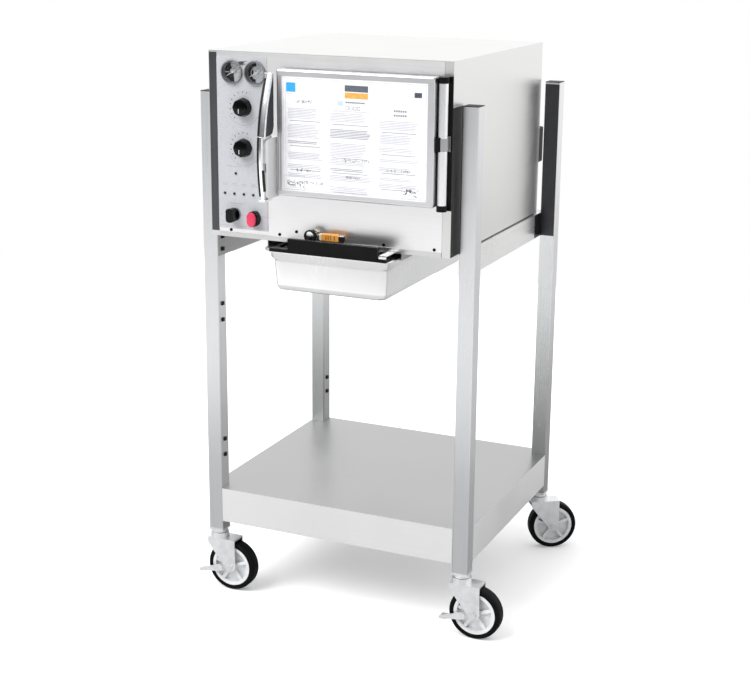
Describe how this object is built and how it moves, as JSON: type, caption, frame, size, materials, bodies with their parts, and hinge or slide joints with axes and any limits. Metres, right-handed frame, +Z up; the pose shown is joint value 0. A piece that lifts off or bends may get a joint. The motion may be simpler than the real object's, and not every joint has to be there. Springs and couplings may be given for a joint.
{
  "type": "countertop steamer on a mobile stand",
  "caption": "Stainless boilerless pan steamer with a hinged door, gauges and knobs, a sliding drain pan, and a stand with a lower shelf and swivel casters.",
  "frame": {"origin": "on the floor, midway between the four caster swivel axes", "axes": "+X to the right of someone facing the door, the door faces -Y, +Z up"},
  "size_m": [0.7935, 0.7855, 1.336],
  "materials": {
    "stainless": "satin brushed stainless sheet",
    "chrome": "polished plate",
    "zinc_plated_steel": "bright zinc plate",
    "wheel_plastic": "moulded pale grey",
    "tyre_rubber": "moulded black rubber",
    "black_steel": "black coated",
    "black_plastic": "moulded black",
    "gloss_black_plastic": "polished black",
    "red_plastic": "moulded red",
    "lamp_plastic": "dark translucent lens",
    "orange_vinyl": "dipped vinyl",
    "panel_overlay": "printed polyester overlay",
    "placard_film": "printed film",
    "gasket_rubber": "extruded silicone",
    "gauge_glass": "flat glass",
    "needle_paint": "black enamel",
    "brass": "cast and plated",
    "cast_aluminium": "as cast",
    "insulation_wool": "glass wool"
  },
  "bodies": {
    "stand": {"front_legs": "stainless", "rear_legs": "stainless", "leg_top_plugs": "black_plastic", "frame_bolts": "black_steel", "cabinet_rails": "stainless", "lower_shelf": "stainless", "caster_stems": "zinc_plated_steel", "cabinet_wrap": "stainless", "cabinet_base": "stainless", "cabinet_back": "stainless", "power_inlet": "black_plastic", "front_frame": "stainless", "control_panel": "panel_overlay", "front_screws": "black_steel", "steam_chamber": "stainless", "heater_plate": "cast_aluminium", "insulation_jacket": "insulation_wool", "pan_racks": "stainless", "vacuum_pump": "cast_aluminium", "drain_valve_body": "brass", "gauge_bodies": "black_plastic", "gauge_lenses": "gauge_glass", "control_switches": "black_plastic", "indicator_lamps": "lamp_plastic", "hinge_bracket": "black_steel", "latch_strike": "stainless", "pan_runners": "stainless"},
    "door": {"door_skin": "stainless", "door_liner": "stainless", "door_gasket": "gasket_rubber", "door_placard": "placard_film", "hinge_bar": "stainless", "hinge_arm": "stainless", "latch_base": "stainless"},
    "handle": {"door_handle": "chrome", "latch_hook": "stainless"},
    "timer": {"timer_knob": "gloss_black_plastic"},
    "thermostat": {"thermostat_knob": "gloss_black_plastic"},
    "selector": {"selector_knob": "gloss_black_plastic"},
    "button": {"power_button": "red_plastic"},
    "needle_left": {"left_needle": "needle_paint"},
    "needle_right": {"right_needle": "needle_paint"},
    "lever": {"drain_lever": "chrome", "lever_sleeve": "orange_vinyl"},
    "pan": {"drain_pan": "stainless", "pan_pull": "black_steel"},
    "swivel_front_left": {"fork_front_left": "zinc_plated_steel"},
    "wheel_front_left": {"hub_front_left": "wheel_plastic", "tyre_front_left": "tyre_rubber"},
    "brake_front_left": {"brake_pedal_front_left": "zinc_plated_steel"},
    "swivel_front_right": {"fork_front_right": "zinc_plated_steel"},
    "wheel_front_right": {"hub_front_right": "wheel_plastic", "tyre_front_right": "tyre_rubber"},
    "brake_front_right": {"brake_pedal_front_right": "zinc_plated_steel"},
    "swivel_rear_left": {"fork_rear_left": "zinc_plated_steel"},
    "wheel_rear_left": {"hub_rear_left": "wheel_plastic", "tyre_rear_left": "tyre_rubber"},
    "swivel_rear_right": {"fork_rear_right": "zinc_plated_steel"},
    "wheel_rear_right": {"hub_rear_right": "wheel_plastic", "tyre_rear_right": "tyre_rubber"}
  },
  "joints": [
    {"name": "door_hinge", "type": "hinge", "parent": "stand", "child": "door", "pos_m": [0.28, -0.355, 1.1645], "axis": [0, 0, 1], "range_deg": [0, 150]},
    {"name": "handle_turn", "type": "hinge", "parent": "door", "child": "handle", "pos_m": [-0.1205, -0.396, 1.088], "axis": [0, 0, 1], "range_deg": [0, 30]},
    {"name": "timer_turn", "type": "hinge", "parent": "stand", "child": "timer", "pos_m": [-0.209, -0.342, 1.21189], "axis": [0, 1, 0], "range_deg": [0, 300]},
    {"name": "thermostat_turn", "type": "hinge", "parent": "stand", "child": "thermostat", "pos_m": [-0.209, -0.342, 1.12016], "axis": [0, 1, 0], "range_deg": [0, 270]},
    {"name": "selector_turn", "type": "hinge", "parent": "stand", "child": "selector", "pos_m": [-0.237, -0.342, 0.965], "axis": [0, 1, 0], "range_deg": [0, 90]},
    {"name": "button_press", "type": "slide", "parent": "stand", "child": "button", "axis": [0, 1, 0], "range_m": [0, 0.003], "stiffness_N_per_m": 800},
    {"name": "left_needle_swing", "type": "hinge", "parent": "stand", "child": "needle_left", "pos_m": [-0.237, -0.342, 1.28911], "axis": [0, 1, 0], "range_deg": [0, 240], "stiffness_Nm_per_rad": 0.002},
    {"name": "right_needle_swing", "type": "hinge", "parent": "stand", "child": "needle_right", "pos_m": [-0.178, -0.342, 1.28911], "axis": [0, 1, 0], "range_deg": [0, 240], "stiffness_Nm_per_rad": 0.002},
    {"name": "drain_lever_turn", "type": "hinge", "parent": "stand", "child": "lever", "pos_m": [-0.03, -0.361, 0.937], "axis": [0, -1, 0], "range_deg": [0, 90]},
    {"name": "pan_slide", "type": "slide", "parent": "stand", "child": "pan", "axis": [0, -1, 0], "range_m": [0, 0.35]},
    {"name": "swivel_front_left_turn", "type": "hinge", "parent": "stand", "child": "swivel_front_left", "pos_m": [-0.323, -0.287, 0.14], "axis": [0, 0, 1], "continuous": true},
    {"name": "wheel_front_left_spin", "type": "hinge", "parent": "swivel_front_left", "child": "wheel_front_left", "pos_m": [-0.285, -0.287, 0.0635], "axis": [0, 1, 0], "continuous": true},
    {"name": "brake_front_left_press", "type": "hinge", "parent": "swivel_front_left", "child": "brake_front_left", "pos_m": [-0.311, -0.3095, 0.0575], "axis": [0, -1, 0], "range_deg": [0, 12]},
    {"name": "swivel_front_right_turn", "type": "hinge", "parent": "stand", "child": "swivel_front_right", "pos_m": [0.323, -0.287, 0.14], "axis": [0, 0, 1], "continuous": true},
    {"name": "wheel_front_right_spin", "type": "hinge", "parent": "swivel_front_right", "child": "wheel_front_right", "pos_m": [0.361, -0.287, 0.0635], "axis": [0, 1, 0], "continuous": true},
    {"name": "brake_front_right_press", "type": "hinge", "parent": "swivel_front_right", "child": "brake_front_right", "pos_m": [0.335, -0.3095, 0.0575], "axis": [0, -1, 0], "range_deg": [0, 12]},
    {"name": "swivel_rear_left_turn", "type": "hinge", "parent": "stand", "child": "swivel_rear_left", "pos_m": [-0.323, 0.287, 0.14], "axis": [0, 0, 1], "continuous": true},
    {"name": "wheel_rear_left_spin", "type": "hinge", "parent": "swivel_rear_left", "child": "wheel_rear_left", "pos_m": [-0.28729, 0.3, 0.0635], "axis": [-0.342, 0.9397, 0], "continuous": true},
    {"name": "swivel_rear_right_turn", "type": "hinge", "parent": "stand", "child": "swivel_rear_right", "pos_m": [0.323, 0.287, 0.14], "axis": [0, 0, 1], "continuous": true},
    {"name": "wheel_rear_right_spin", "type": "hinge", "parent": "swivel_rear_right", "child": "wheel_rear_right", "pos_m": [0.35523, 0.30714, 0.0635], "axis": [-0.5299, 0.848, 0], "continuous": true}
  ]
}
